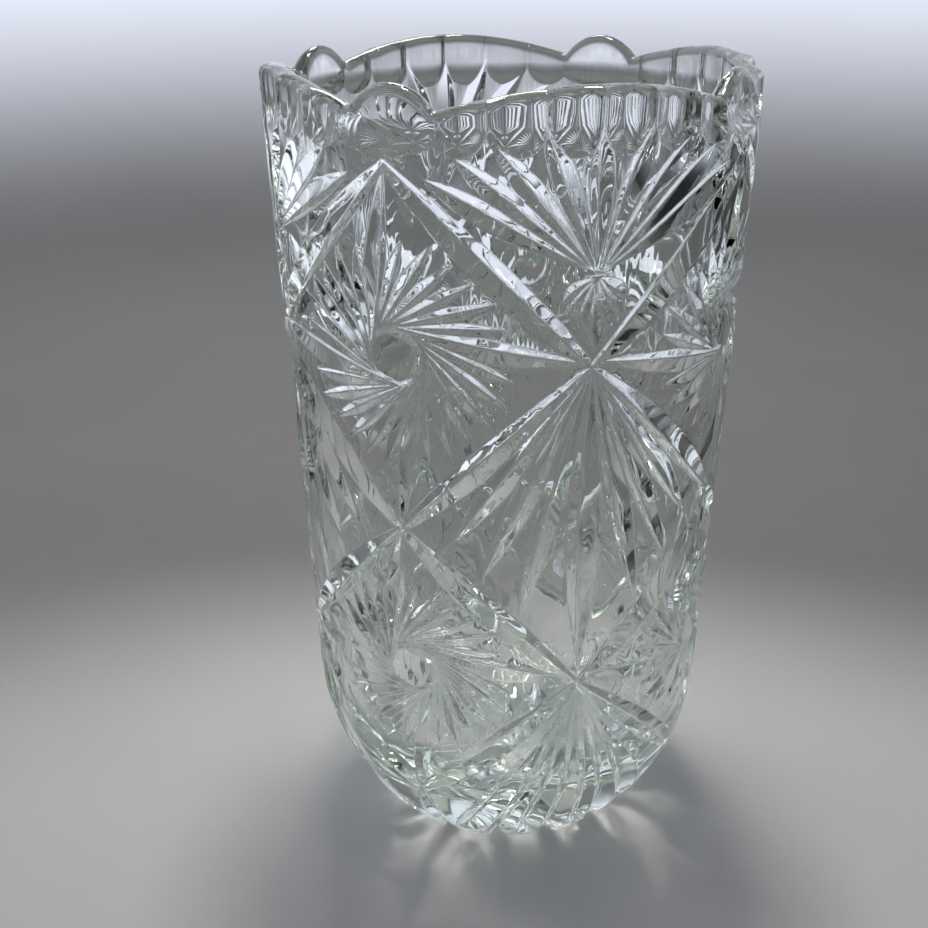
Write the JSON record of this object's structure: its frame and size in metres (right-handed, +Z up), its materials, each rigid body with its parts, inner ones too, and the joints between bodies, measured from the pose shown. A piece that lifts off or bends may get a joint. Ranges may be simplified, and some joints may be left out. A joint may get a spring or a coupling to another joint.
{
  "type": "cut crystal vase",
  "caption": "Tall open vase of clear cut crystal with a scalloped rim, crossing mitre cuts, pinwheels and fans, on a rayed foot.",
  "frame": {"origin": "centre of the foot, on the plane that the vase stands on", "axes": "+Z up along the vase's axis; a rim lobe stands over each of -Y, +X, +Y and -X, and -Y is the front"},
  "size_m": [0.1466, 0.1466, 0.25],
  "materials": {
    "crystal": "polished clear lead crystal"
  },
  "bodies": {
    "root": {"vase_body": "crystal"}
  },
  "joints": []
}
